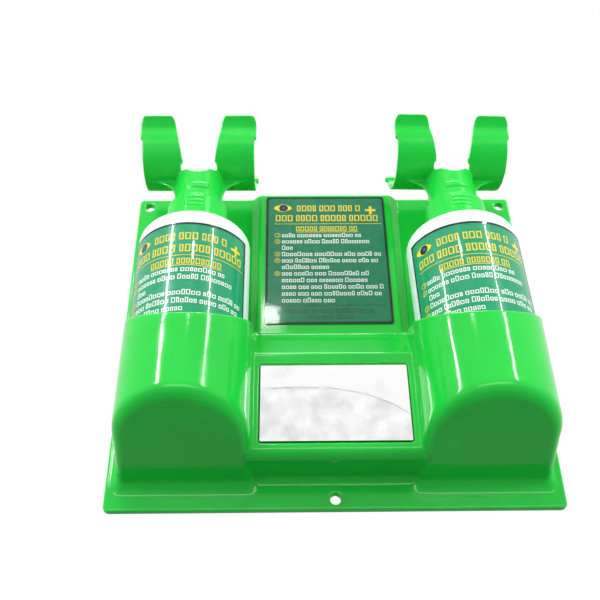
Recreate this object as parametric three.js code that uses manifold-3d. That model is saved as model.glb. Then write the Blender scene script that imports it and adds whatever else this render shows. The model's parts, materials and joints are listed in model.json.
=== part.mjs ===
// Double-bottle emergency eyewash wall station.
//
// One moulded green wall panel holds two squeeze bottles in half-round pockets. A raised centre
// plate carries the instruction label, and below it a ramp runs out to a mirror box. Each bottle
// has a screw collar that clamps an eyecup head with two curved wings.
//
// Frame: millimetres, +Z up. The wall is the plane y = 0 and the front faces -Y. The origin is the
// centre of the panel's back.

import * as THREE from "three";
import { mergeVertices } from "three/addons/utils/BufferGeometryUtils.js";
import Module from "manifold-3d";

const wasm = await Module();
wasm.setup();

// ---------------------------------------------------------------- driving dimensions

const CLEARANCE = 0.3; // gap between pieces that touch

const PANEL = { width: 286, height: 250, depth: 5.5, corner: 3.5, wall: 2 };
const SCREW_HOLE = { radius: 3.4, boss: 7.5, chamfer: 0.6 };
const HOLE_CENTRES = [[-135, 117.5], [135, 117.5], [0, -118]];

const PLATE = { halfWidth: 50, slope: 6, front: 11, foldZ: -2 }; // raised plate behind the label
const FLANGE_FOLD_Z = 3; // the ramp leaves the flange here, beside the raised plate
const MIRROR_BOX = { front: 38, top: -33, bottom: -104, halfWidth: 54, edge: 6, wall: 7, inner: 47, foot: 5 };
const MIRROR = { width: 92.5, height: 52, thickness: 2.2, centreZ: -68, recess: 3.4, margin: 0.8 };
const TAPE = { width: 84, height: 12, thickness: 0.6, offset: 17 };
const LABEL = { width: 90, height: 116, thickness: 0.4, centreZ: 64, corner: 2 };

const BOTTLE = {
  x: 92, // distance of each pocket's axis from the centre line
  y: -48, // bottle axis in front of the wall
  baseZ: -86,
  radius: 37.5, // heights above the base from here on
  wall: 1.6,
  foot: 5,
  bodyTop: 128.5,
  shoulderRadius: 8,
  shoulderTurn: 52, // degrees of round shoulder before the straight cone
  neckBase: 146,
  neckTop: 156,
  neckRadius: 17.4,
};
// The right bottle stands against its pocket: aside of the axis at the foot, leaning inwards (degrees).
// labelTurn and headTurn are how far the label and the head are turned from facing straight out.
const STANCE = {
  left: { aside: 0, lean: 0, labelTurn: -1, headTurn: 0 },
  right: { aside: 0.75, lean: 1.25, labelTurn: -5, headTurn: 3 },
};
const THREAD = { reach: 1.1, height: 1.8, starts: [148, 152] };
const BOTTLE_LABEL = { bottom: 8, top: 122.3, arcLength: 90, thickness: 0.3 };

const POCKET = {
  innerRadius: 39,
  wall: 1.6,
  rimFront: -34, // rim height at the front and at the flange
  rimBack: 4,
  rimOpening: 0.3,
  floorFront: -92, // underside of the floor at the front and at the flange
  floorBack: -109.5,
  outerDraft: 0.07, // sideways slope of the outer wall towards the flange
  frontLean: 3, // how much further forward the floor end stands than the rim
  edgeFront: 9.5, // rounding between the walls and the floor
  edgeBack: 4,
  arcSteps: 48,
};
// Where the pocket's walls flare into the flange.
const POCKET_FOOT = { depth: 5.5, aside: 3.5, below: 6.5, corner: 5, top: -1 };
const SEAT_RIB = { thickness: 2.6, offset: 16, front: -74, back: -6, drop: 0.7 };

const GASKET = { inner: 12.6, outer: 17, thickness: 0.9 };
const COLLAR = { radius: 21, bottom: 145.5, top: 163.8, bore: 19, mouth: 17.9, edge: 2.4, ribs: 3 };
const TUBE = {
  flange: 18.6, flangeHeight: 2, base: 17.4, taperFrom: 168, top: 16, taperTop: 198, height: 202,
  wideBore: 12.4, bore: 9.6,
};
const TROUGH = {
  radius: 24.6, thickness: 2.6, axisZ: 217, halfSpan: 39.7, arcSteps: 48,
  rearAngle: -0.12, // where the half round begins behind, under the bead
  bead: 2.1,
};
const LIP = { forward: 6.5, height: 9.5, steps: 6 }; // the front edge flares forward
const RIM = { proud: 1.5, outerZ: 209.5, innerZ: 196.6, slope: 1 }; // the wings are wider above these heights
const WING = { top: 226.4, corner: 5 };
const NOTCH = { lowHalf: 11.5, lowZ: 197.5, lean: 0.175, back: -6, dipZ: 186.6, dipHalf: 8.2, earZ: 191.2 };
const GUSSET = { thickness: 1.6 };
const TUBE_PAD = { bottom: 171.2, top: 175.4, radius: 18, halfWidth: 8 };
const JETS = {
  count: 6, ring: 5, radius: 0.9, discZ: 178.5, discHeight: 2.4, skirt: 7, outer: 12.1, inner: 10.4,
};
const PLUG = { bottom: 182.3, top: 188.2, radius: 8.9, groove: 7.3, grooveZ: 185.2, grooveHeight: 2.4 };
const PLUG_RING = { middle: 8.45, section: 0.8 };
const GRIP = { halfWidth: 6, thickness: 2, height: 8.5, y: 4 };

const FINISH = {
  greenPlastic: { color: 0x34dc48, roughness: 0.22, metalness: 0 },
  headPlastic: { color: 0x38e04c, roughness: 0.3, metalness: 0 },
  bottlePlastic: { color: 0xf2f7f5, roughness: 0.35, metalness: 0 },
  label: { color: 0x2f8a62, roughness: 0.3, metalness: 0 },
  mirror: { color: 0xd8dcdf, roughness: 0.05, metalness: 0.9 },
  tape: { color: 0x303030, roughness: 0.9, metalness: 0 },
  seal: { color: 0xe8e4dc, roughness: 0.7, metalness: 0 },
  nozzle: { color: 0xfafafa, roughness: 0.4, metalness: 0 },
};

// ---------------------------------------------------------------- solids and booleans

function signedVolume(position, faces) {
  const point = (i) => new THREE.Vector3().fromBufferAttribute(position, i);
  return faces.reduce((sum, [a, b, c]) => sum + point(a).dot(point(b).cross(point(c))), 0);
}

// A closed geometry with merged vertices and outward faces, as a solid that can be cut and joined.
function weldedSolid(geometry) {
  const bare = geometry.clone();
  bare.deleteAttribute("normal");
  bare.deleteAttribute("uv");
  const welded = mergeVertices(bare, 1e-4);
  const position = welded.getAttribute("position");
  const index = Array.from(welded.getIndex().array);
  const faces = [];
  for (let i = 0; i < index.length; i += 3) {
    const [a, b, c] = index.slice(i, i + 3);
    if (a !== b && b !== c && c !== a) faces.push([a, b, c]);
  }
  const outward = signedVolume(position, faces) > 0 ? faces : faces.map(([a, b, c]) => [a, c, b]);
  return new wasm.Manifold(
    new wasm.Mesh({
      numProp: 3,
      vertProperties: new Float32Array(position.array),
      triVerts: new Uint32Array(outward.flat()),
    }),
  );
}

function toGeometry(manifold) {
  const mesh = manifold.getMesh();
  const geometry = new THREE.BufferGeometry();
  geometry.setAttribute("position", new THREE.BufferAttribute(new Float32Array(mesh.vertProperties), 3));
  geometry.setIndex(new THREE.BufferAttribute(new Uint32Array(mesh.triVerts), 1));
  geometry.computeVertexNormals();
  return geometry;
}

function union(solids) {
  return solids.reduce((sum, solid) => sum.add(solid));
}

// A closed skin over rings of points. Every ring has the same count and a star-shaped outline.
function loft(rings) {
  const count = rings[0].length;
  const points = rings.flat();
  const triangles = [];
  for (let r = 0; r + 1 < rings.length; r += 1) {
    for (let i = 0; i < count; i += 1) {
      const a = r * count + i;
      const b = r * count + ((i + 1) % count);
      triangles.push(a, b, b + count, a, b + count, a + count);
    }
  }
  for (const [ringIndex, reverse] of [[0, true], [rings.length - 1, false]]) {
    const centre = new THREE.Vector3();
    for (const p of rings[ringIndex]) centre.addScaledVector(p, 1 / count);
    const hub = points.push(centre) - 1;
    for (let i = 0; i < count; i += 1) {
      const a = ringIndex * count + i;
      const b = ringIndex * count + ((i + 1) % count);
      triangles.push(...(reverse ? [hub, b, a] : [hub, a, b]));
    }
  }
  const geometry = new THREE.BufferGeometry().setFromPoints(points);
  geometry.setIndex(triangles);
  return weldedSolid(geometry);
}

function extruded(shape, depth, curveSegments = 6) {
  return new THREE.ExtrudeGeometry(shape, { depth, bevelEnabled: false, curveSegments });
}

// An outline in (x, z) swept along y.
function sweepY(shape, yBack, yFront) {
  const geometry = extruded(shape, yBack - yFront);
  geometry.rotateX(Math.PI / 2);
  geometry.translate(0, yBack, 0);
  return weldedSolid(geometry);
}

// An outline in (y, z) swept along x.
function sweepX(shape, xLeft, xRight) {
  const geometry = extruded(shape, xRight - xLeft);
  geometry.applyMatrix4(new THREE.Matrix4().set(0, 0, 1, xLeft, 1, 0, 0, 0, 0, 1, 0, 0, 0, 0, 0, 1));
  return weldedSolid(geometry);
}

function box(x0, x1, y0, y1, z0, z1) {
  const geometry = new THREE.BoxGeometry(x1 - x0, y1 - y0, z1 - z0);
  geometry.translate((x0 + x1) / 2, (y0 + y1) / 2, (z0 + z1) / 2);
  return weldedSolid(geometry);
}

// A profile of [radius, height] pairs turned round the z axis.
function turnedGeometry(profile, segments) {
  const points = profile.map(([r, z]) => new THREE.Vector2(r, z));
  return new THREE.LatheGeometry(points, segments).rotateX(Math.PI / 2);
}

function turned(profile, segments = 40) {
  return weldedSolid(turnedGeometry(profile, segments));
}

function ring(inner, outer, z0, z1, segments = 40) {
  return turned([[inner, z0], [outer, z0], [outer, z1], [inner, z1], [inner, z0]], segments);
}

// A turned profile whose height runs along +y, standing at (x, z).
function turnedAlongY(profile, x, z, segments = 24) {
  const geometry = turnedGeometry(profile, segments).rotateX(-Math.PI / 2);
  return weldedSolid(geometry.translate(x, 0, z));
}

function polygon(points) {
  return new THREE.Shape(points.map(([a, b]) => new THREE.Vector2(a, b)));
}

function roundedRectangle(width, height, corner, centreY = 0) {
  const shape = new THREE.Shape();
  const x = width / 2 - corner;
  const y = height / 2 - corner;
  const quarters = [[x, y], [-x, y], [-x, -y], [x, -y]];
  quarters.forEach(([cx, cy], i) => {
    shape.absarc(cx, centreY + cy, corner, (i * Math.PI) / 2, ((i + 1) * Math.PI) / 2);
  });
  shape.closePath();
  return shape;
}

function arcPoints(centreA, centreB, radius, from, to, steps) {
  return Array.from({ length: steps + 1 }, (_, i) => {
    const angle = from + ((to - from) * i) / steps;
    return [centreA + radius * Math.cos(angle), centreB + radius * Math.sin(angle)];
  });
}

// ---------------------------------------------------------------- wall panel

// inset 0 gives the outside of the sheet. A positive inset gives the inside, which runs on past
// the wall plane, so the moulding is open behind.
const backOf = (inset) => (inset > 0 ? 1 : 0);

function flangeSolid(inset) {
  const corner = Math.max(PANEL.corner - inset, 0.8);
  const shape = roundedRectangle(PANEL.width - 2 * inset, PANEL.height - 2 * inset, corner);
  return sweepY(shape, backOf(inset), -PANEL.depth + inset);
}

function plateSolid(inset) {
  const wide = PLATE.halfWidth + PLATE.slope - inset;
  const narrow = PLATE.halfWidth - inset;
  const section = (front, flange, z) => [
    [-wide, backOf(inset)], [-wide, -flange + inset], [-narrow, -front + inset],
    [narrow, -front + inset], [wide, -flange + inset], [wide, backOf(inset)],
  ].map(([x, y]) => new THREE.Vector3(x, y, z));
  return loft([
    section(MIRROR_BOX.front, MIRROR_BOX.front - PLATE.slope, MIRROR_BOX.top - inset),
    section(PLATE.front, PANEL.depth, PLATE.foldZ),
    section(PLATE.front, PANEL.depth, PANEL.height / 2 - inset),
  ]);
}

function mirrorBoxSolid(inset) {
  const front = -MIRROR_BOX.front + (inset > 0 ? MIRROR_BOX.wall : 0);
  const top = MIRROR_BOX.top - inset;
  const bottom = MIRROR_BOX.bottom + inset;
  const edge = MIRROR_BOX.edge - inset;
  const fold = FLANGE_FOLD_Z - inset * 1.35;
  const rampEnd = inset > 0 ? [] : [[front + PLATE.slope, top]];
  const { foot } = MIRROR_BOX;
  const underside = inset > 0
    ? [[backOf(inset), bottom]]
    : [...arcPoints(-PANEL.depth - foot, bottom - foot, foot, Math.PI / 2, 0, 5), [0, bottom - foot]];
  const profile = [
    [backOf(inset), fold],
    [-PANEL.depth + inset, fold],
    ...rampEnd,
    [front, top],
    ...arcPoints(front + edge, bottom + edge, edge, Math.PI, Math.PI * 1.5, 5),
    ...underside,
  ];
  return sweepX(polygon(profile), -MIRROR_BOX.halfWidth, MIRROR_BOX.halfWidth);
}

const pocketDepth = POCKET.innerRadius + POCKET.wall - BOTTLE.y;
const between = (atFront, atFlange, y) => atFlange + ((atFront - atFlange) * -y) / pocketDepth;
const pocketFloor = (y) => between(POCKET.floorFront, POCKET.floorBack, y);

// How far the pocket's side walls stand from its axis at a given y behind the axis.
function pocketHalfWidth(side, direction, radius, y) {
  const draft = side === direction ? POCKET.outerDraft : 0;
  return radius + (y - BOTTLE.y) * draft;
}

// The pocket in plan: a half circle in front and two straight sides, with outward directions.
function pocketPlan(side, radius, back) {
  const sidePoint = (direction) => ({
    x: direction * pocketHalfWidth(side, direction, radius, back), y: back, outX: direction, outY: 0,
  });
  const front = arcPoints(0, 0, 1, Math.PI * 2, Math.PI, POCKET.arcSteps).map(([outX, outY]) => ({
    x: radius * outX, y: BOTTLE.y + radius * outY, outX, outY,
  }));
  return [sidePoint(1), ...front, sidePoint(-1)];
}

// Both end at a rim that climbs towards the flange; the inside runs on a little to open the rim.
function pocketSolid(side, inset) {
  const radius = POCKET.innerRadius + (inset > 0 ? 0 : POCKET.wall);
  const plan = pocketPlan(side, radius, backOf(inset));
  const layer = (angle, rise) => plan.map(({ x, y, outX, outY }) => {
    const edge = between(POCKET.edgeFront, POCKET.edgeBack, y) - inset;
    const shrink = edge * (1 - Math.sin(angle));
    const floor = pocketFloor(y) + inset + edge * (1 - Math.cos(angle));
    const rim = between(POCKET.rimFront, POCKET.rimBack, y) + (inset > 0 ? POCKET.rimOpening : 0);
    const lean = POCKET.frontLean * (1 - rise) * Math.max(-outY, 0);
    return new THREE.Vector3(
      side * BOTTLE.x + x - outX * shrink, y - outY * shrink - lean, floor + (rim - floor) * rise,
    );
  });
  const quarter = [0, 0.2, 0.4, 0.6, 0.8, 1].map((part) => layer((part * Math.PI) / 2, 0));
  const walls = [0.5, 1].map((rise) => layer(Math.PI / 2, rise));
  return loft([...quarter, ...walls]);
}

// The flare where a pocket's walls and floor run into the flange.
function pocketFoot(side) {
  const { depth, aside, below, corner, top } = POCKET_FOOT;
  const outline = (part) => {
    const y = -PANEL.depth - depth * part;
    const flare = 1 - Math.sqrt(1 - (1 - part) ** 2);
    const reach = (direction) =>
      pocketHalfWidth(side, direction, POCKET.innerRadius + POCKET.wall, y) + aside * flare;
    const floor = pocketFloor(y) - below * flare + corner;
    const section = [
      [reach(1), top],
      ...arcPoints(reach(1) - corner, floor, corner, 0, -Math.PI / 2, 4),
      ...arcPoints(corner - reach(-1), floor, corner, -Math.PI / 2, -Math.PI, 4),
      [-reach(-1), top],
    ];
    return section.map(([x, z]) => new THREE.Vector3(side * BOTTLE.x + x, y, z));
  };
  const inFlange = outline(0).map((p) => p.clone().setY(-1));
  return loft([inFlange, ...[0, 0.15, 0.35, 0.6, 1].map(outline)]);
}

// Two upright ribs in each pocket give the bottle a level seat over the sloping floor.
function seatRib(side, offset) {
  const x = side * BOTTLE.x + offset;
  const half = SEAT_RIB.thickness / 2;
  const top = BOTTLE.baseZ - SEAT_RIB.drop;
  const block = box(x - half, x + half, SEAT_RIB.front, SEAT_RIB.back, POCKET.floorBack - 2, top);
  return block.intersect(pocketSolid(side, 0.4));
}

function screwHole([x, z]) {
  const { radius, chamfer } = SCREW_HOLE;
  const front = -PANEL.depth;
  const profile = [
    [0, front - 1], [radius + chamfer + 1, front - 1], [radius, front + chamfer], [radius, 1], [0, 1],
  ];
  return turnedAlongY(profile, x, z);
}

function screwBoss([x, z]) {
  const { boss } = SCREW_HOLE;
  const front = -PANEL.depth + 1;
  return turnedAlongY([[0, front], [boss, front], [boss, 0], [0, 0]], x, z).intersect(flangeSolid(0));
}

// The wall between a pocket and the space behind the mirror box.
function pocketSideWall(side) {
  const [left, right] = [side * MIRROR_BOX.inner, side * MIRROR_BOX.halfWidth].sort((a, b) => a - b);
  const slab = box(left, right, 1 - MIRROR_BOX.front, 0, MIRROR_BOX.bottom + 1, POCKET.rimBack);
  const outside = union([plateSolid(0), mirrorBoxSolid(0), pocketSolid(side, 0)]);
  return slab.intersect(outside).subtract(pocketSolid(side, PANEL.wall));
}

function mirrorRecess() {
  const { width, height, margin, centreZ, recess } = MIRROR;
  const shape = roundedRectangle(width + 2 * margin, height + 2 * margin, 1, centreZ);
  return sweepY(shape, -MIRROR_BOX.front + recess, -MIRROR_BOX.front - 1);
}

function wallPanel() {
  const sides = [-1, 1];
  const skin = (inset) => union([
    flangeSolid(inset),
    plateSolid(inset),
    mirrorBoxSolid(inset),
    ...sides.map((side) => pocketSolid(side, inset)),
  ]);
  const ribs = sides.flatMap((s) => [-1, 1].map((t) => seatRib(s, t * SEAT_RIB.offset)));
  const shell = union([skin(0), ...sides.map(pocketFoot)]).subtract(skin(PANEL.wall));
  const ribbed = union([shell, ...ribs, ...sides.map(pocketSideWall), ...HOLE_CENTRES.map(screwBoss)]);
  const cuts = [mirrorRecess(), ...HOLE_CENTRES.map(screwHole)];
  return cuts.reduce((solid, cut) => solid.subtract(cut), ribbed);
}

// ---------------------------------------------------------------- flat pieces on the panel

function instructionLabel() {
  const shape = roundedRectangle(LABEL.width, LABEL.height, LABEL.corner, LABEL.centreZ);
  const back = -PLATE.front - CLEARANCE;
  return sweepY(shape, back, back - LABEL.thickness);
}

const recessFloorY = -MIRROR_BOX.front + MIRROR.recess;

function mirrorGlass() {
  const back = recessFloorY - 2 * CLEARANCE - TAPE.thickness;
  const shape = roundedRectangle(MIRROR.width, MIRROR.height, 0.8, MIRROR.centreZ);
  return sweepY(shape, back, back - MIRROR.thickness);
}

function mirrorTape(offset) {
  const back = recessFloorY - CLEARANCE;
  const shape = roundedRectangle(TAPE.width, TAPE.height, 0.5, MIRROR.centreZ + offset);
  return sweepY(shape, back, back - TAPE.thickness);
}

// ---------------------------------------------------------------- bottle, heights above its base

// The outside of the bottle from the foot to the top of the neck, moved in by an inset.
function bottleProfile(inset) {
  const { radius, foot, bodyTop, shoulderRadius, neckBase, neckTop, neckRadius } = BOTTLE;
  const turn = (BOTTLE.shoulderTurn * Math.PI) / 180;
  const centre = radius - shoulderRadius;
  return [
    [0, 2 + inset],
    [radius - 12, 2 + inset],
    [radius - 8, inset],
    ...arcPoints(radius - foot, foot, foot - inset, -Math.PI / 2, 0, 4),
    ...arcPoints(centre, bodyTop, shoulderRadius - inset, 0, turn, 5),
    [neckRadius - inset, neckBase],
    [neckRadius - inset, neckTop],
  ];
}

function bottleShell() {
  const outside = bottleProfile(0);
  const inside = bottleProfile(BOTTLE.wall).reverse();
  const threads = THREAD.starts.map((start) => {
    const { neckRadius } = BOTTLE;
    const top = start + THREAD.height;
    const crest = neckRadius + THREAD.reach;
    const root = neckRadius - BOTTLE.wall / 2;
    return turned([[root, start], [crest, start + 0.6], [crest, top - 0.6], [root, top], [root, start]]);
  });
  return union([turned([...outside, ...inside]), ...threads]);
}

// A printed wrap label over the front of the bottle.
function bottleLabel() {
  const inner = BOTTLE.radius + CLEARANCE;
  const outer = inner + BOTTLE_LABEL.thickness;
  const half = BOTTLE_LABEL.arcLength / BOTTLE.radius / 2;
  const front = -Math.PI / 2;
  const outline = [
    ...arcPoints(0, 0, outer, front - half, front + half, 24),
    ...arcPoints(0, 0, inner, front + half, front - half, 24),
  ];
  const geometry = extruded(polygon(outline), BOTTLE_LABEL.top - BOTTLE_LABEL.bottom);
  return weldedSolid(geometry.translate(0, 0, BOTTLE_LABEL.bottom));
}

// ---------------------------------------------------------------- bottle head

const gasketZ = BOTTLE.neckTop + CLEARANCE;
const flangeZ = gasketZ + GASKET.thickness + CLEARANCE;
const flangeTopZ = flangeZ + TUBE.flangeHeight;

function neckGasket() {
  return ring(GASKET.inner, GASKET.outer, gasketZ, gasketZ + GASKET.thickness);
}

function screwCollar() {
  const { radius, bottom, top, bore, mouth, edge, ribs } = COLLAR;
  const ceiling = flangeTopZ + CLEARANCE;
  const cap = turned([
    [bore, bottom], [radius, bottom],
    ...arcPoints(radius - edge, top - edge, edge, 0, Math.PI / 2, 5),
    [mouth, top], [mouth, ceiling], [bore, ceiling], [bore, bottom],
  ], 48);
  // Short ribs across the front, for the thumb.
  const front = box(-6.5, 6.5, -radius - 2, -bore, bottom, top);
  const grips = Array.from({ length: ribs }, (_, i) => {
    const z = top - edge - 2.2 - i * 3.4;
    return ring(radius - 1, radius + 0.5, z - 0.7, z + 0.7, 48).intersect(front);
  });
  return union([cap, ...grips]);
}

// The trough's sheet in (y, z): a bead behind, a half round below and a lip that flares forward.
function troughMidline() {
  const { radius, axisZ, rearAngle, arcSteps } = TROUGH;
  const halfRound = arcPoints(0, axisZ, radius, rearAngle, -Math.PI, arcSteps);
  const lip = Array.from({ length: LIP.steps }, (_, i) => {
    const rise = (i + 1) / LIP.steps;
    return [-radius - LIP.forward * rise ** 1.6, axisZ + LIP.height * rise];
  });
  return [...halfRound, ...lip];
}

function offsetLine(points, distance) {
  return points.map(([a, b], i) => {
    const [a0, b0] = points[Math.max(i - 1, 0)];
    const [a1, b1] = points[Math.min(i + 1, points.length - 1)];
    const length = Math.hypot(a1 - a0, b1 - b0);
    return [a - ((b1 - b0) / length) * distance, b + ((a1 - a0) / length) * distance];
  });
}

// outer and inner are distances from the midline, counted away from the trough's axis.
function troughSheet(outer, inner, halfSpan, points = troughMidline()) {
  const outline = [...offsetLine(points, outer), ...offsetLine(points, inner).reverse()];
  return sweepX(polygon(outline), -halfSpan, halfSpan);
}

// One wing seen from the front. It steps out to a wider rim, and its notch side leans outwards.
function wingOutline(side) {
  const { proud, outerZ, innerZ, slope } = RIM;
  const { top, corner } = WING;
  const outer = TROUGH.halfSpan + proud;
  const inner = (z) => NOTCH.lowHalf + NOTCH.lean * (z - NOTCH.lowZ);
  const low = NOTCH.lowZ - 30;
  const points = [
    [inner(innerZ) + proud, low], [TROUGH.halfSpan, low], [TROUGH.halfSpan, outerZ], [outer, outerZ + slope],
    ...arcPoints(outer - corner, top - corner, corner, 0, Math.PI / 2, 5),
    ...arcPoints(inner(top) + corner, top - corner, corner, Math.PI / 2, Math.PI * 0.95, 5),
    [inner(innerZ + slope), innerZ + slope], [inner(innerZ) + proud, innerZ],
  ];
  return polygon(points.map(([x, z]) => [side * x, z]));
}

// The rounded dip between the wings, over the front of the tube.
function notchCut() {
  const { dipZ, dipHalf, earZ, lowHalf, lowZ, back } = NOTCH;
  const dip = [-1, -0.75, -0.5, -0.25, 0, 0.25, 0.5, 0.75, 1].map((part) => [
    part * dipHalf, dipZ + (earZ - dipZ) * part * part,
  ]);
  const edge = lowHalf + RIM.proud - 0.2;
  const above = [
    [edge - 1.5, earZ + 0.8], [edge, earZ + 2.6], [edge, RIM.innerZ - 0.2],
    [lowHalf - 0.2, lowZ], [lowHalf - 0.2, TUBE.height + 2],
  ];
  const leftAbove = above.map(([x, z]) => [-x, z]).reverse();
  return sweepY(polygon([...dip, ...above, ...leftAbove]), back, -60);
}

// A thin web under each wing, beside the tube.
function gusset(side) {
  const outline = [
    [14, 176], [16.6, 176.5], [17.6, 179.1], [18.6, 182], [20.3, 184.6], [23.6, 187.4], [28, 189.6],
    [33, 191.3], [33, 192.2], [14, 192.2],
  ];
  const half = GUSSET.thickness / 2;
  return sweepY(polygon(outline.map(([x, z]) => [side * x, z])), half, -half);
}

function tubeOutside() {
  const { flange, base, taperFrom, top, taperTop, height } = TUBE;
  return turned([
    [0, flangeZ], [flange, flangeZ], [flange, flangeTopZ], [base, flangeTopZ],
    [base, taperFrom], [top, taperTop], [top, height], [0, height],
  ], 48);
}

function tubeBore() {
  const shoulder = JETS.discZ + JETS.discHeight + CLEARANCE;
  return turned([
    [0, flangeZ - 1], [TUBE.wideBore, flangeZ - 1], [TUBE.wideBore, shoulder],
    [TUBE.bore, shoulder], [TUBE.bore, TUBE.height + 1], [0, TUBE.height + 1],
  ]);
}

// The raised pad low on the front of the tube.
function tubePad() {
  const { bottom, top, radius, halfWidth } = TUBE_PAD;
  const band = ring(TUBE.top - 2, radius, bottom, top, 48);
  return band.intersect(box(-halfWidth, halfWidth, -30, 0, bottom - 1, top + 1));
}

function eyecupHead() {
  const { radius, axisZ, halfSpan, thickness, rearAngle, bead } = TROUGH;
  const sides = [-1, 1];
  const half = thickness / 2;
  const behind = box(-60, 60, -radius * 0.62, 60, 0, 300);
  const wings = sides.map((side) => sweepY(wingOutline(side), 0, -60));
  const sheet = troughSheet(half, -half, halfSpan + RIM.proud);
  const ends = box(-halfSpan, halfSpan, -60, 60, 0, 300);
  const rear = sheet.intersect(behind).intersect(ends);
  const trough = union([rear, ...wings.map((wing) => wing.intersect(sheet))]);
  const rearBead = sweepX(
    polygon(arcPoints(
      radius * Math.cos(rearAngle), axisZ + radius * Math.sin(rearAngle), bead, 0, Math.PI * 1.8, 9,
    )),
    -halfSpan - RIM.proud,
    halfSpan + RIM.proud,
  );
  const cupSpace = sweepX(polygon(arcPoints(0, axisZ, radius - half, 0, Math.PI * 1.95, 39)), -30, 30);
  const tube = union([tubeOutside(), tubePad(), ...sides.map(gusset)]).subtract(cupSpace);
  return union([trough, rearBead, tube]).subtract(notchCut()).subtract(tubeBore());
}

// A cup-shaped disc with one jet in the middle and a ring of jets round it.
function jetNozzle() {
  const { count, radius, discZ, discHeight, skirt, outer, inner } = JETS;
  const top = discZ + discHeight;
  const cup = turned([
    [0, discZ], [inner, discZ], [inner, discZ - skirt], [outer, discZ - skirt], [outer, top], [0, top],
  ]);
  const centres = Array.from({ length: count }, (_, i) => {
    const angle = (i * 2 * Math.PI) / count;
    return [JETS.ring * Math.cos(angle), JETS.ring * Math.sin(angle)];
  });
  const jets = [[0, 0], ...centres].map(([x, y]) => {
    const profile = [[0, discZ - 1], [radius, discZ - 1], [radius, top + 1], [0, top + 1]];
    return weldedSolid(turnedGeometry(profile, 10).translate(x, y, 0));
  });
  return jets.reduce((solid, jet) => solid.subtract(jet), cup);
}

function topCap() {
  const { bottom, top, radius, groove, grooveZ, grooveHeight } = PLUG;
  const low = grooveZ - grooveHeight / 2;
  const high = grooveZ + grooveHeight / 2;
  const plug = turned([
    [0, bottom], [radius - 0.6, bottom], [radius, bottom + 0.6], [radius, low], [groove, low],
    [groove, high], [radius, high], [radius, top], [0, top],
  ], 32);
  const grip = box(
    -GRIP.halfWidth, GRIP.halfWidth,
    GRIP.y - GRIP.thickness / 2, GRIP.y + GRIP.thickness / 2,
    top - 1, top + GRIP.height,
  );
  return plug.add(grip);
}

function topCapSeal() {
  const section = arcPoints(PLUG_RING.middle, PLUG.grooveZ, PLUG_RING.section, 0, Math.PI * 2, 8);
  return turned(section, 32);
}

// ---------------------------------------------------------------- assembly

function piece(name, solid, finish) {
  const mesh = new THREE.Mesh(toGeometry(solid), new THREE.MeshStandardMaterial(finish));
  mesh.name = name;
  return mesh;
}

// Everything of one bottle, built about its own axis with the foot at height 0.
function bottleAssembly(sideName) {
  const head = new THREE.Group();
  head.add(
    piece(`${sideName}_neck_gasket`, neckGasket(), FINISH.seal),
    piece(`${sideName}_screw_collar`, screwCollar(), FINISH.headPlastic),
    piece(`${sideName}_eyecup_head`, eyecupHead(), FINISH.headPlastic),
    piece(`${sideName}_jet_nozzle`, jetNozzle(), FINISH.nozzle),
    piece(`${sideName}_top_cap`, topCap(), FINISH.headPlastic),
    piece(`${sideName}_top_cap_seal`, topCapSeal(), FINISH.seal),
  );
  const bottle = new THREE.Group();
  const label = piece(`${sideName}_bottle_label`, bottleLabel(), FINISH.label);
  const { aside, lean, labelTurn, headTurn } = STANCE[sideName];
  label.rotation.z = THREE.MathUtils.degToRad(labelTurn);
  head.rotation.z = THREE.MathUtils.degToRad(headTurn);
  bottle.add(piece(`${sideName}_bottle`, bottleShell(), FINISH.bottlePlastic), label, head);
  const side = sideName === "left" ? -1 : 1;
  bottle.position.set(side * (BOTTLE.x + aside), BOTTLE.y, BOTTLE.baseZ);
  bottle.rotation.y = THREE.MathUtils.degToRad(-side * lean);
  return bottle;
}

const station = new THREE.Group();
station.add(
  piece("wall_panel", wallPanel(), FINISH.greenPlastic),
  piece("instruction_label", instructionLabel(), FINISH.label),
  piece("mirror_glass", mirrorGlass(), FINISH.mirror),
  piece("mirror_tape_upper", mirrorTape(TAPE.offset), FINISH.tape),
  piece("mirror_tape_lower", mirrorTape(-TAPE.offset), FINISH.tape),
  bottleAssembly("left"),
  bottleAssembly("right"),
);

export default station;
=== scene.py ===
"""Looks of the double-bottle eyewash wall station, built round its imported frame.

Everything is in metres in the frame's own axes: +Z up, the wall is the plane y = 0 and the front
faces -Y. The frame's green mouldings are kept and get their moulded fillets from modifiers. The
printed labels are laid on as thin artwork, flat on the plate and wrapped round the bottles.
"""
import json
import math
import random

import bpy
from mathutils import Matrix, Vector


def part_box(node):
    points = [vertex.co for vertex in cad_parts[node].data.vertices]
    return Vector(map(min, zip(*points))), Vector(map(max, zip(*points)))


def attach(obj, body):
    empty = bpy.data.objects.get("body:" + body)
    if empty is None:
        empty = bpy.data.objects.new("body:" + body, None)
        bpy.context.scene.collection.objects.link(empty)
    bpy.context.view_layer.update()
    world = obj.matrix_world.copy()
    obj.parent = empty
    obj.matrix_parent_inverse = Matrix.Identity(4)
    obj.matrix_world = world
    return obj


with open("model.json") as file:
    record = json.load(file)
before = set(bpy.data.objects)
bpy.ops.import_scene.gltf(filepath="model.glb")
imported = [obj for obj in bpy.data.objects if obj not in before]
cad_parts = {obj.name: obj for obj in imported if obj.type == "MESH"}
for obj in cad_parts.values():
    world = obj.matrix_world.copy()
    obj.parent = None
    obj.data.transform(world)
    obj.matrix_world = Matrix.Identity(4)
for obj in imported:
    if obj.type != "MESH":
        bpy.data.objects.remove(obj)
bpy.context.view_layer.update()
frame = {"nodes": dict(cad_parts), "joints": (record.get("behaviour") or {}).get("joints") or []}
NODES = frame["nodes"]
JOINT_AXES = {joint["name"]: Vector(joint["axis"]) for joint in frame["joints"]}

MM = 0.001
SIDES = ("left", "right")

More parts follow.
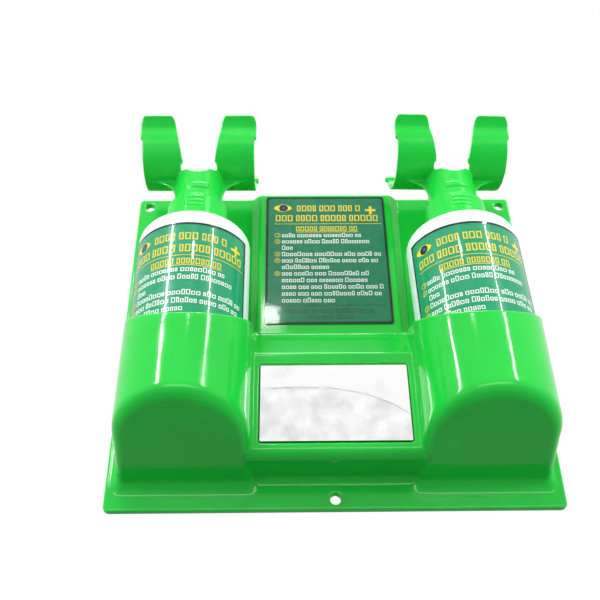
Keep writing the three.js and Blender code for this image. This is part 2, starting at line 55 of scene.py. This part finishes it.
# Camera, below and in front of the station and looking up at it (metres and degrees). The lens and
# the sensor's width are in millimetres.
CAMERA_AT = Vector((-0.028, -0.499, -0.305))
CAMERA_UP = 34.19
CAMERA_ASIDE = 0.90
CAMERA_ROLL = -0.80
CAMERA_LENS = 50
CAMERA_SENSOR = 36

# Moulded fillets, for each green moulding: the voxel in metres, the smoothing steps, and the share of
# the remeshed faces that is kept.
ROUNDING = {
    "wall_panel": (0.75 * MM, 7, 0.35),
    "eyecup_head": (0.5 * MM, 6, 0.4),
    "screw_collar": (0.45 * MM, 3, 0.5),
    "top_cap": (0.4 * MM, 2, 0.5),
}

# Printed artwork, in millimetres on the label.
LABEL_TURN = {"left": -1, "right": -5}  # degrees that each bottle's label is turned about its bottle
GASKET_HEIGHT = 156.75  # middle of the neck gasket above the bottle's foot
BOTTLE_LABEL_WIDTH = 90  # along the curve of the bottle
INK = 0.05  # thickness of the printed artwork
INK_GAP = 0.01  # gap under it
WORD_SEED = 4
BORDER = {"width": 1.7, "corner": 2.2, "margin": 0.1}
PLATE_LABEL_CORNER = 2
BOTTLE_LABEL_CORNER = 0.5
RING = {"radius": 2.1, "thickness": 0.4}  # round each step number
STEP_TEXT = 3.8  # height of the step rows and of the foot note
EDGE_STEPS = 36  # pieces along a label's top and bottom edge, so that they wrap round a bottle
CORNER_STEPS = 6
OVAL_STEPS = 16
CIRCLE_STEPS = 20

# Rows of the label: left and right are shares of its half width, and the base is a share of its
# height from the top. Heading rows end with their height, and thin rules with their thickness.
HEADING_ROWS = ((-0.48, 0.62, 0.122, 5.6), (-0.84, 0.92, 0.206, 5.8), (-0.5, 0.53, 0.289, 4.4))
HEADING_RULES = ((-0.86, 0.93, 0.231, 0.4), (-0.5, 0.53, 0.299, 0.5))
FOOT_ROWS = ((-0.68, 0.72, 0.921), (-0.36, 0.42, 0.966))
FOOT_RULE = (-0.9, 0.9, 0.868, 0.5)

EYE_AT = (-0.72, 0.095)
CROSS_AT = (0.76, 0.115)

# Greeked text: the size of its blocks as shares of the row's height.
LETTERS_PER_WORD = (3, 8)
LETTER_WIDTH = (0.42, 0.66)
SMALL_LETTER = 0.72
STROKE = 0.14
LETTER_GAP = 0.17
WORD_GAP = 0.3
SHORTEST_WORD = 0.8

# The numbered steps: the left ends are shares of the label's half width, the first row and the
# spacing are shares of its height from the top, and each step's row lengths are shares of its width.
NUMBERS_AT = -0.81
STEPS_FROM = -0.735
FIRST_ROW = 0.325
ROW_SPACING = 0.0506
NUMBER_RISE = 0.2  # a number's middle above its row's line, and the text's base below it
TEXT_DROP = 1.6
STEP_ROWS = ((0.68,), (0.725, 0.11), (0.83,), (0.78, 0.42), (0.705, 0.705, 0.84, 0.795, 0.425))

# The seven strokes of a plain digit, as (left, right, bottom, top) shares of its size, and the
# strokes of the digits 1 to 5.
STROKES = {
    "top": (0, 1, 0.86, 1), "middle": (0, 1, 0.43, 0.57), "bottom": (0, 1, 0, 0.14),
    "upper_left": (0, 0.24, 0.5, 1), "upper_right": (0.76, 1, 0.5, 1),
    "lower_left": (0, 0.24, 0, 0.5), "lower_right": (0.76, 1, 0, 0.5),
}
DIGITS = [
    ("upper_right", "lower_right"),
    ("top", "upper_right", "middle", "lower_left", "bottom"),
    ("top", "upper_right", "middle", "lower_right", "bottom"),
    ("upper_left", "middle", "upper_right", "lower_right"),
    ("top", "upper_left", "middle", "lower_right", "bottom"),
]

# The stage, in metres.
FLOOR_Z = -1
FLOOR_HALF = 3
LIT_CENTRE = (0, -0.04, 0)  # what the softboxes point at
CARD_Y = -1.5
CARD_BOTTOM = 0.5
CARD_RIM = 0.003
# The card's curved upper edge, as (x, z) in its own plane.
CARD_EDGE = ((-0.16, 0.722), (-0.02, 0.728), (0.08, 0.726), (0.17, 0.708), (0.24, 0.678), (0.32, 0.62))

# Brightness of the surroundings as (place, brightness), from 0 straight down to 1 straight up.
WORLD_RAMP = ((0.3, 0.38), (0.76, 1))


# ---------------------------------------------------------------- colours and shader nodes

def srgb(red, green, blue):
    """A display colour of 0 to 255 as the linear colour that shaders use."""
    def linear(value):
        share = value / 255
        return share / 12.92 if share <= 0.04045 else ((share + 0.055) / 1.055) ** 2.4
    return (linear(red), linear(green), linear(blue), 1)


def scaled(colour, share):
    return tuple(min(c * share, 1) for c in colour[:3]) + (1,)


def new_material(name):
    material = bpy.data.materials.new(name)
    material.use_nodes = True
    tree = material.node_tree
    return material, tree, tree.nodes["Principled BSDF"]


def add(tree, kind, inputs=None, **settings):
    node = tree.nodes.new("ShaderNode" + kind)
    for key, value in settings.items():
        setattr(node, key, value)
    for key, value in (inputs or {}).items():
        node.inputs[key].default_value = value
    return node


def noise(tree, size, detail=3):
    """Noise whose blobs are about that size in metres, fixed to the piece."""
    place = add(tree, "TexCoord")
    texture = add(tree, "TexNoise", {"Scale": 1 / size, "Detail": detail, "Roughness": 0.55})
    tree.links.new(place.outputs["Object"], texture.inputs["Vector"])
    return texture.outputs["Fac"]


def ranged(tree, value, from_low, from_high, to_low, to_high):
    limits = {"From Min": from_low, "From Max": from_high, "To Min": to_low, "To Max": to_high}
    node = add(tree, "MapRange", limits)
    tree.links.new(value, node.inputs["Value"])
    return node.outputs["Result"]


def mixed(tree, factor, low, high):
    """A blend of two colours. Each is a constant colour or another node's output."""
    # The node has one set of sockets per data type: 6 and 7 take the colours, and 2 gives their blend.
    node = add(tree, "Mix", data_type="RGBA")
    tree.links.new(factor, node.inputs[0])
    for socket, colour in ((node.inputs[6], low), (node.inputs[7], high)):
        if isinstance(colour, bpy.types.NodeSocket):
            tree.links.new(colour, socket)
        else:
            socket.default_value = colour
    return node.outputs[2]


def bumped(tree, height, depth, under=None):
    """A bump of that depth in metres, on top of another bump if one is given."""
    node = add(tree, "Bump", {"Strength": 1, "Distance": depth})
    tree.links.new(height, node.inputs["Height"])
    if under is not None:
        tree.links.new(under, node.inputs["Normal"])
    return node.outputs["Normal"]


# ---------------------------------------------------------------- materials

def moulded_plastic(name, colour, edge_highlight_colour, roughness, specular=0.5):
    """Glossy moulded plastic: faint flow marks, orange peel, smears and a painted highlight on its
    rounded edges.
    """
    material, tree, shader = new_material(name)
    flow = ranged(tree, noise(tree, 0.05, 2), 0.3, 0.7, 0, 1)
    body = mixed(tree, flow, scaled(colour, 0.93), scaled(colour, 1.04))
    fleck = ranged(tree, noise(tree, 0.0022, 4), 0.62, 0.8, 0, 0.16)
    flecked = mixed(tree, fleck, body, scaled(colour, 0.8))
    # Painted highlight: the rounded, pointy edges are blended towards the lighter edge colour.
    edge = ranged(tree, add(tree, "NewGeometry").outputs["Pointiness"], 0.51, 0.58, 0, 0.6)
    tree.links.new(mixed(tree, edge, flecked, edge_highlight_colour), shader.inputs["Base Color"])
    smear = ranged(tree, noise(tree, 0.018, 4), 0.35, 0.7, roughness * 0.75, roughness * 1.5)
    tree.links.new(smear, shader.inputs["Roughness"])
    waves = bumped(tree, noise(tree, 0.016, 1), 0.09 * MM)
    peel = bumped(tree, noise(tree, 0.0016, 2), 0.006 * MM, waves)
    tree.links.new(peel, shader.inputs["Normal"])
    shader.inputs["IOR"].default_value = 1.5
    shader.inputs["Specular IOR Level"].default_value = specular
    return material


def blown_plastic(name, colour):
    """Milky blow-moulded plastic: light passes a little way in, with faint flow bands and scuffs."""
    material, tree, shader = new_material(name)
    cloud = ranged(tree, noise(tree, 0.03, 3), 0.3, 0.7, 0, 1)
    tree.links.new(mixed(tree, cloud, scaled(colour, 0.95), colour), shader.inputs["Base Color"])
    scuff = ranged(tree, noise(tree, 0.004, 5), 0.4, 0.75, 0.28, 0.5)
    tree.links.new(scuff, shader.inputs["Roughness"])
    waves = bumped(tree, noise(tree, 0.012, 1), 0.05 * MM)
    grain = bumped(tree, noise(tree, 0.0008, 2), 0.004 * MM, waves)
    tree.links.new(grain, shader.inputs["Normal"])
    shader.inputs["Subsurface Weight"].default_value = 0.25
    shader.inputs["Subsurface Radius"].default_value = (1, 1, 1)
    shader.inputs["Subsurface Scale"].default_value = 0.003
    return material


def printed_film(name, colour, roughness=0.2, coat=0.5):
    """Printed laminated film: mottled ink, slight ripples and a clear glossy layer."""
    material, tree, shader = new_material(name)
    mottle = ranged(tree, noise(tree, 0.0012, 4), 0.35, 0.7, 0, 1)
    tone = mixed(tree, mottle, scaled(colour, 0.9), scaled(colour, 1.07))
    fade = ranged(tree, noise(tree, 0.04, 2), 0.35, 0.7, 0, 0.25)
    tree.links.new(mixed(tree, fade, tone, scaled(colour, 1.18)), shader.inputs["Base Color"])
    rub = ranged(tree, noise(tree, 0.01, 4), 0.3, 0.7, roughness, roughness * 1.8)
    tree.links.new(rub, shader.inputs["Roughness"])
    ripple = bumped(tree, noise(tree, 0.009, 2), 0.03 * MM)
    tree.links.new(ripple, shader.inputs["Normal"])
    grain = bumped(tree, noise(tree, 0.003, 3), 0.01 * MM, ripple)
    tree.links.new(grain, shader.inputs["Coat Normal"])
    shader.inputs["Coat Weight"].default_value = coat
    shader.inputs["Coat Roughness"].default_value = 0.05
    shader.inputs["Specular IOR Level"].default_value = 0.15
    return material


def mirror_sheet(name):
    """Silvered sheet with faint finger smears and a few cloudy patches."""
    material, tree, shader = new_material(name)
    cloud = ranged(tree, noise(tree, 0.02, 5), 0.55, 0.8, 0, 1)
    silver = mixed(tree, cloud, srgb(255, 255, 255), srgb(236, 237, 238))
    tree.links.new(silver, shader.inputs["Base Color"])
    smear = ranged(tree, noise(tree, 0.006, 4), 0.4, 0.8, 0.01, 0.06)
    tree.links.new(smear, shader.inputs["Roughness"])
    shader.inputs["Metallic"].default_value = 1
    return material


def foam_tape(name, colour):
    """Closed-cell foam tape."""
    material, tree, shader = new_material(name)
    cells = noise(tree, 0.0009, 3)
    tone = ranged(tree, cells, 0.3, 0.7, 0, 1)
    tree.links.new(mixed(tree, tone, scaled(colour, 0.6), colour), shader.inputs["Base Color"])
    tree.links.new(bumped(tree, cells, 0.08 * MM), shader.inputs["Normal"])
    shader.inputs["Roughness"].default_value = 0.9
    return material


def soft_rubber(name, colour):
    """Matt seal rubber with talc on it."""
    material, tree, shader = new_material(name)
    talc = ranged(tree, noise(tree, 0.003, 4), 0.4, 0.7, 0, 1)
    tree.links.new(mixed(tree, talc, scaled(colour, 0.85), colour), shader.inputs["Base Color"])
    tree.links.new(ranged(tree, talc, 0, 1, 0.55, 0.8), shader.inputs["Roughness"])
    tree.links.new(bumped(tree, noise(tree, 0.0006, 3), 0.01 * MM), shader.inputs["Normal"])
    return material


# The second colour of each green is its painted highlight on rounded edges.
PANEL_GREEN = moulded_plastic("panel_green", srgb(30, 197, 62), srgb(84, 238, 106), 0.11, specular=0.34)
HEAD_GREEN = moulded_plastic("head_green", srgb(30, 202, 64), srgb(90, 240, 112), 0.26, specular=0.22)
BOTTLE_WHITE = blown_plastic("bottle_white", srgb(226, 243, 240))
NOZZLE_WHITE = blown_plastic("nozzle_white", srgb(240, 240, 238))
LABEL_GREEN = printed_film("label_green", srgb(20, 148, 100))
PLATE_LABEL_GREEN = printed_film("plate_label_green", srgb(28, 120, 84), coat=0.3)
INK_YELLOW = printed_film("ink_yellow", srgb(226, 206, 52))
INK_WHITE = printed_film("ink_white", srgb(232, 240, 236))
INK_BLACK = printed_film("ink_black", srgb(24, 34, 32))
INK_GREY = printed_film("ink_grey", srgb(30, 84, 62))
INK_BLUE = printed_film("ink_blue", srgb(44, 88, 170))
MIRROR = mirror_sheet("mirror_silver")
TAPE = foam_tape("tape_foam", srgb(60, 60, 62))
RUBBER = soft_rubber("seal_rubber", srgb(225, 220, 208))
INKS = [INK_YELLOW, INK_WHITE, INK_BLACK, INK_GREY, INK_BLUE]
YELLOW, WHITE, BLACK, GREY, BLUE = range(5)


# ---------------------------------------------------------------- frame nodes

def finish_with(node, material):
    node.data.materials.clear()
    node.data.materials.append(material)


def rounded(node, voxel, steps, kept):
    """Gives a moulding its small fillets: remeshed finely, smoothed, then thinned out again."""
    remesh = node.modifiers.new("fine_skin", "REMESH")
    remesh.mode = "VOXEL"
    remesh.voxel_size = voxel
    remesh.use_smooth_shade = True
    smooth = node.modifiers.new("fillets", "SMOOTH")
    smooth.factor = 0.5
    smooth.iterations = steps
    thin = node.modifiers.new("thinned", "DECIMATE")
    thin.ratio = kept


def smooth_shaded(node, crease=32):
    """Smooth shading that keeps the edges sharper than the crease angle."""
    weld = node.modifiers.new("joined", "WELD")
    weld.merge_threshold = 0.005 * MM
    split = node.modifiers.new("creases", "EDGE_SPLIT")
    split.split_angle = math.radians(crease)
    for face in node.data.polygons:
        face.use_smooth = True


def dress_nodes():
    finish_with(NODES["wall_panel"], PANEL_GREEN)
    rounded(NODES["wall_panel"], *ROUNDING["wall_panel"])
    finish_with(NODES["instruction_label"], PLATE_LABEL_GREEN)
    finish_with(NODES["mirror_glass"], MIRROR)
    for tape in ("mirror_tape_upper", "mirror_tape_lower"):
        finish_with(NODES[tape], TAPE)
    for side in SIDES:
        for part in ("eyecup_head", "screw_collar", "top_cap"):
            finish_with(NODES[f"{side}_{part}"], HEAD_GREEN)
            rounded(NODES[f"{side}_{part}"], *ROUNDING[part])
        for part, material in (
            ("bottle", BOTTLE_WHITE), ("jet_nozzle", NOZZLE_WHITE),
            ("neck_gasket", RUBBER), ("top_cap_seal", RUBBER), ("bottle_label", LABEL_GREEN),
        ):
            finish_with(NODES[f"{side}_{part}"], material)
            smooth_shaded(NODES[f"{side}_{part}"])


# ---------------------------------------------------------------- artwork shapes, in millimetres

def filled(rows, ink, low=0, step=2.5):
    """A filled shape from rows of (height, left, right), cut into columns narrow enough to wrap."""
    widest = max(right - left for _, left, right in rows)
    columns = max(1, math.ceil(widest / step))
    points = [
        (left + (right - left) * c / columns, height)
        for height, left, right in rows
        for c in range(columns + 1)
    ]
    faces = []
    for r in range(len(rows) - 1):
        for c in range(columns):
            a = r * (columns + 1) + c
            faces.append((a, a + 1, a + columns + 2, a + columns + 1))
    return points, faces, ink, low


def bar(left, right, bottom, top, ink, low=0):
    return filled([(bottom, left, right), (top, left, right)], ink, low)


def oval(x, y, half_width, half_height, ink, low=0, power=0.5):
    """An ellipse, or with a power of 1 or more a pointed almond shape."""
    rows = []
    for i in range(1, OVAL_STEPS):
        height = -math.cos(math.pi * i / OVAL_STEPS)
        reach = half_width * (1 - height * height) ** power
        rows.append((y + height * half_height, x - reach, x + reach))
    return filled(rows, ink, low, step=1)


def closed_band(outer, inner, ink, low=0):
    """The band between two closed outlines with the same number of points."""
    count = len(outer)
    faces = []
    for i in range(count):
        j = (i + 1) % count
        faces.append((i, j, count + j, count + i))
    return [*outer, *inner], faces, ink, low


def circle(x, y, radius):
    turns = [2 * math.pi * i / CIRCLE_STEPS for i in range(CIRCLE_STEPS)]
    return [(x + radius * math.cos(t), y + radius * math.sin(t)) for t in turns]


def rounded_outline(half_width, half_height, corner):
    """A rounded rectangle's outline, with points along its straight top and bottom too."""
    points = []
    for turn, (sign_x, sign_y) in enumerate(((1, 1), (-1, 1), (-1, -1), (1, -1))):
        centre = (sign_x * (half_width - corner), sign_y * (half_height - corner))
        for i in range(CORNER_STEPS + 1):
            angle = math.pi / 2 * (turn + i / CORNER_STEPS)
            points.append((centre[0] + corner * math.cos(angle), centre[1] + corner * math.sin(angle)))
        if sign_x == sign_y:
            span = 2 * (half_width - corner) * sign_x
            edge = sign_y * half_height
            points += [(centre[0] - span * i / EDGE_STEPS, edge) for i in range(1, EDGE_STEPS)]
    return points


def block(left, right, bottom, top, stroke, ink):
    """One hollow block of greeked text."""
    outer = [(left, bottom), (right, bottom), (right, top), (left, top)]
    inner = [
        (left + stroke, bottom + stroke), (right - stroke, bottom + stroke),
        (right - stroke, top - stroke), (left + stroke, top - stroke),
    ]
    return closed_band(outer, inner, ink)


def text_row(left, right, base, height, ink, draws, capitals=False):
    """A row of greeked text: words made of hollow blocks, with no letters in it."""
    shapes = []
    stroke = height * STROKE
    x = left
    while x < right - height * SHORTEST_WORD:
        for _ in range(draws.randint(*LETTERS_PER_WORD)):
            tall = 1 if capitals else draws.choice((SMALL_LETTER, SMALL_LETTER, SMALL_LETTER, 1))
            width = height * draws.uniform(*LETTER_WIDTH)
            if x + width > right:
                break
            shapes.append(block(x, x + width, base, base + height * tall, stroke, ink))
            x += width + height * LETTER_GAP
        x += height * WORD_GAP
    return shapes


def step_number(index, x, y):
    """A plain digit in a ring."""
    radius = RING["radius"]
    shapes = [closed_band(circle(x, y, radius), circle(x, y, radius - RING["thickness"]), YELLOW)]
    width, height = radius * 0.7, radius * 1.15
    x0, y0 = x - width / 2, y - height / 2
    for stroke in DIGITS[index]:
        left, right = (x0 + share * width for share in STROKES[stroke][:2])
        bottom, top = (y0 + share * height for share in STROKES[stroke][2:])
        shapes.append(bar(left, right, bottom, top, YELLOW))
    return shapes


def eye_symbol(x, y):
    """An almond-shaped eye with a black iris and a blue pupil."""
    return [
        oval(x, y, 6.8, 3.9, YELLOW, power=1.1),
        oval(x + 0.4, y, 3.3, 3.3, BLACK, low=INK),
        oval(x + 0.8, y, 1.2, 1.2, BLUE, low=2 * INK),
    ]


def cross_symbol(x, y, arm=4, half_bar=1):
    """A plain upright cross, in three bars that don't overlap."""
    return [
        bar(x - arm, x + arm, y - half_bar, y + half_bar, YELLOW),
        bar(x - half_bar, x + half_bar, y + half_bar, y + arm, YELLOW),
        bar(x - half_bar, x + half_bar, y - arm, y - half_bar, YELLOW),
    ]


def border_band(half, top, outer_corner):
    """The black line just inside the label's edge."""
    margin, width = BORDER["margin"], BORDER["width"]
    outer = rounded_outline(half - margin, top - margin, outer_corner)
    inner = rounded_outline(half - width, top - width, BORDER["corner"])
    return closed_band(outer, inner, BLACK)


def numbered_steps(half, row, draws):
    """Five steps of greeked text, each with its number in front of its first row."""
    shapes = []
    text_left = half * STEPS_FROM
    line = 0
    for number, lengths in enumerate(STEP_ROWS):
        middle = row(FIRST_ROW + ROW_SPACING * line) + NUMBER_RISE
        shapes += step_number(number, half * NUMBERS_AT, middle)
        for length in lengths:
            base = row(FIRST_ROW + ROW_SPACING * line) - TEXT_DROP
            text_right = text_left + 2 * half * length
            shapes += text_row(text_left, text_right, base, STEP_TEXT, WHITE, draws)
            line += 1
    return shapes


def label_artwork(width, height, outer_corner):
    """Border, eye symbol, cross, heading rows, five numbered steps and a faint foot note."""
    draws = random.Random(WORD_SEED)
    half = width / 2
    top = height / 2

    def row(share):
        return top - height * share

    def rule(left, right, base, thickness, ink):
        return bar(half * left, half * right, row(base), row(base) + thickness, ink)

    shapes = [border_band(half, top, outer_corner)]
    shapes += eye_symbol(half * EYE_AT[0], row(EYE_AT[1]))
    shapes += cross_symbol(half * CROSS_AT[0], row(CROSS_AT[1]))
    for left, right, base, tall in HEADING_ROWS:
        shapes += text_row(half * left, half * right, row(base), tall, YELLOW, draws, capitals=True)
    shapes += [rule(*heading_rule, YELLOW) for heading_rule in HEADING_RULES]
    shapes += numbered_steps(half, row, draws)
    shapes.append(rule(*FOOT_RULE, GREY))
    for left, right, base in FOOT_ROWS:
        shapes += text_row(half * left, half * right, row(base), STEP_TEXT, GREY, draws)
    return shapes


# ---------------------------------------------------------------- laying artwork on its label

def outer_edges(faces):
    """The edges that only one of the faces has, in that face's direction."""
    edges = {}
    for face in faces:
        for a, b in zip(face, face[1:] + face[:1]):
            if (b, a) in edges:
                del edges[(b, a)]
            else:
                edges[(a, b)] = True
    return list(edges)


def lay_artwork(name, shapes, place, body):
    """Makes the shapes into thin closed slabs. place(x, y, lift) puts a point on the label."""
    vertices, faces, inks = [], [], []
    for points, outline_faces, ink, low in shapes:
        count, start = len(points), len(vertices)
        vertices += [place(x, y, low + INK) for x, y in points]
        vertices += [place(x, y, low) for x, y in points]
        made = [tuple(start + i for i in face) for face in outline_faces]
        made += [tuple(start + count + i for i in reversed(face)) for face in outline_faces]
        for a, b in outer_edges(outline_faces):
            made.append((start + a, start + count + a, start + count + b, start + b))
        faces += made
        inks += [ink] * len(made)
    mesh = bpy.data.meshes.new(name)
    mesh.from_pydata(vertices, [], faces)
    for material in INKS:
        mesh.materials.append(material)
    mesh.polygons.foreach_set("material_index", inks)
    mesh.update()
    piece = bpy.data.objects.new(name, mesh)
    bpy.context.scene.collection.objects.link(piece)
    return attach(piece, body)


def plate_artwork():
    """The artwork laid flat on the plate's label."""
    low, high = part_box("instruction_label")
    middle = (low + high) / 2
    size = (high - low) / MM

    def place(x, y, lift):
        return (middle.x + x * MM, low.y - (INK_GAP + lift) * MM, middle.z + y * MM)

    artwork = label_artwork(size.x, size.z, PLATE_LABEL_CORNER)
    lay_artwork("plate_label_print", artwork, place, "panel")


def bottle_artwork(side):
    """The same artwork wrapped round a bottle, which may lean sideways and have a turned label.

    The sizes come from the left bottle, which is upright. The place comes from the side's own axis.
    """
    axis = JOINT_AXES[f"{side}_bottle_lift"].normalized()
    tilt = Matrix.Rotation(math.atan2(axis.x, axis.z), 3, "Y")
    gasket_low, gasket_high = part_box(f"{side}_neck_gasket")
    foot = (gasket_low + gasket_high) / 2 - axis * GASKET_HEIGHT * MM
    bottle_low, bottle_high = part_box("left_bottle")
    label_low, label_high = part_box("left_bottle_label")
    radius = (bottle_low.y + bottle_high.y) / 2 - label_low.y
    label_middle = (label_low.z + label_high.z) / 2 - bottle_low.z
    label_height = (label_high.z - label_low.z) / MM
    turn = math.radians(LABEL_TURN[side]) - math.pi / 2
    bottle_radius = (bottle_high.y - bottle_low.y) / 2 / MM

    def place(x, y, lift):
        angle = turn + x / bottle_radius
        reach = radius + (INK_GAP + lift) * MM
        upright = Vector((reach * math.cos(angle), reach * math.sin(angle), label_middle + y * MM))
        return foot + tilt @ upright

    artwork = label_artwork(BOTTLE_LABEL_WIDTH, label_height, BOTTLE_LABEL_CORNER)
    lay_artwork(f"{side}_label_print", artwork, place, f"{side}_bottle_body")


# ---------------------------------------------------------------- stage, light and camera

def floor():
    """A plain pale floor well below the station, which neither lights it nor shows in its gloss."""
    corners = ((-1, -1), (1, -1), (1, 1), (-1, 1))
    points = [(x * FLOOR_HALF, y * FLOOR_HALF, FLOOR_Z) for x, y in corners]
    mesh = bpy.data.meshes.new("floor")
    mesh.from_pydata(points, [], [(0, 1, 2, 3)])
    material, tree, shader = new_material("floor_pale")
    tone = ranged(tree, noise(tree, 0.4, 3), 0.3, 0.7, 0, 1)
    paint = mixed(tree, tone, srgb(232, 232, 230), srgb(242, 242, 240))
    tree.links.new(paint, shader.inputs["Base Color"])
    shader.inputs["Roughness"].default_value = 0.8
    mesh.materials.append(material)
    piece = bpy.data.objects.new("floor", mesh)
    bpy.context.scene.collection.objects.link(piece)
    piece.visible_diffuse = False
    piece.visible_glossy = False


def surroundings():
    """Studio surroundings: plain white to the camera, and light above and dim below for the rest."""
    world = bpy.data.worlds.new("studio")
    bpy.context.scene.world = world
    world.use_nodes = True
    tree = world.node_tree
    tree.nodes.clear()
    place = add(tree, "TexCoord")
    split = add(tree, "SeparateXYZ")
    tree.links.new(place.outputs["Generated"], split.inputs["Vector"])
    ramp = add(tree, "ValToRGB")
    for element, (position, brightness) in zip(ramp.color_ramp.elements, WORLD_RAMP):
        element.position = position
        element.color = (brightness, brightness, brightness, 1)
    tree.links.new(ranged(tree, split.outputs["Z"], -1, 1, 0, 1), ramp.inputs["Fac"])
    around = add(tree, "Background", {"Strength": 1})
    tree.links.new(ramp.outputs["Color"], around.inputs["Color"])
    behind = add(tree, "Background", {"Color": (1, 1, 1, 1), "Strength": 1})
    rays = add(tree, "LightPath")
    chosen = add(tree, "MixShader")
    tree.links.new(rays.outputs["Is Camera Ray"], chosen.inputs[0])
    tree.links.new(around.outputs[0], chosen.inputs[1])
    tree.links.new(behind.outputs[0], chosen.inputs[2])
    output = add(tree, "OutputWorld")
    tree.links.new(chosen.outputs[0], output.inputs["Surface"])


def area_light(name, at, towards, width, height, power, seen_as="diffuse"):
    """A soft light for shading, or a bright strip that is only seen reflected in gloss."""
    light = bpy.data.lights.new(name, "AREA")
    light.shape = "RECTANGLE"
    light.size = width
    light.size_y = height
    light.energy = power
    lamp = bpy.data.objects.new(name, light)
    bpy.context.scene.collection.objects.link(lamp)
    lamp.location = at
    lamp.rotation_euler = (Vector(towards) - Vector(at)).to_track_quat("-Z", "Y").to_euler()
    lamp.visible_camera = False
    lamp.visible_diffuse = seen_as == "diffuse"
    lamp.visible_transmission = seen_as == "diffuse"
    lamp.visible_glossy = seen_as == "gloss"


def gloss_strip(name, at, towards, width, height, radiance):
    power = radiance * math.pi * width * height
    area_light(name, at, towards, width, height, power, seen_as="gloss")


def lights():
    """Three square softboxes for shading, and the strips that show in the gloss.

    The near and far strips make the upright streaks on the pockets and bottles, the low and overhead
    strips brighten the rims, and the lamp makes the glare in the corner of the plate's label.
    """
    softbox = 0.5
    area_light("key_softbox", (-0.2, -0.6, 0.75), LIT_CENTRE, softbox, softbox, 5.2)
    area_light("left_softbox", (-0.9, -0.45, 0.05), LIT_CENTRE, softbox, softbox, 4.5)
    area_light("right_softbox", (0.9, -0.45, 0.05), LIT_CENTRE, softbox, softbox, 6)
    gloss_strip("near_strip", (-0.23, -0.235, 0.11), (-0.09, -0.09, 0.11), 0.005, 0.24, radiance=220)
    gloss_strip("far_strip", (1.93, -2.3, 2.1), (0, -0.09, 2.1), 0.04, 1.8, radiance=190)
    gloss_strip("low_strip", (0, -3, 0.3), (0, -0.09, 0.3), 3, 0.4, radiance=4.5)
    gloss_strip("overhead_strip", (0, -0.2, 1.5), (0, -0.1, 0), 0.8, 0.15, radiance=30)
    lamp_at = (-0.055, -0.499, 0.333)
    gloss_strip("lamp_corner", lamp_at, (-0.04, -0.011, 0.017), 0.026, 0.022, radiance=70)


def reflector_card():
    """A pale card in front of the station, seen only as a faint curved reflection in the mirror."""
    vertices = []
    for x, z in CARD_EDGE:
        vertices += [(x, CARD_Y, height) for height in (CARD_BOTTOM, z - CARD_RIM, z)]
    faces, shades = [], []
    for i in range(len(CARD_EDGE) - 1):
        a, b = 3 * i, 3 * i + 3
        faces += [(a, b, b + 1, a + 1), (a + 1, b + 1, b + 2, a + 2)]
        shades += [0, 1]
    mesh = bpy.data.meshes.new("reflector_card")
    mesh.from_pydata(vertices, [], faces)
    for name, low, high in (("card_face", 0.78, 1), ("card_rim", 0.4, 0.6)):
        material, tree, shader = new_material(name)
        tone = ranged(tree, noise(tree, 0.06, 5), 0.4, 0.62, 0, 1)
        colour = mixed(tree, tone, (low, low, low, 1), (high, high, high, 1))
        tree.links.new(colour, shader.inputs["Emission Color"])
        shader.inputs["Emission Strength"].default_value = 1
        shader.inputs["Base Color"].default_value = (0, 0, 0, 1)
        shader.inputs["Specular IOR Level"].default_value = 0
        mesh.materials.append(material)
    mesh.polygons.foreach_set("material_index", shades)
    card = bpy.data.objects.new("reflector_card", mesh)
    bpy.context.scene.collection.objects.link(card)
    card.visible_camera = False
    card.visible_diffuse = False
    card.visible_shadow = False


def camera():
    up, aside, roll = (math.radians(a) for a in (CAMERA_UP, CAMERA_ASIDE, CAMERA_ROLL))
    forward = Vector((math.sin(aside) * math.cos(up), math.cos(aside) * math.cos(up), math.sin(up)))
    level = Vector((math.cos(aside), -math.sin(aside), 0))
    above = level.cross(forward)
    right = math.cos(roll) * level + math.sin(roll) * above
    top = -math.sin(roll) * level + math.cos(roll) * above
    data = bpy.data.cameras.new("camera")
    data.lens = CAMERA_LENS
    data.sensor_width = CAMERA_SENSOR
    data.clip_start = 0.01
    viewer = bpy.data.objects.new("camera", data)
    bpy.context.scene.collection.objects.link(viewer)
    turned = Matrix((right, top, -forward)).transposed().to_4x4()
    turned.translation = CAMERA_AT
    viewer.matrix_world = turned
    bpy.context.scene.camera = viewer


camera()
surroundings()
floor()
lights()
reflector_card()
dress_nodes()
plate_artwork()
for side_name in SIDES:
    bottle_artwork(side_name)
bpy.context.scene.view_settings.view_transform = "Standard"
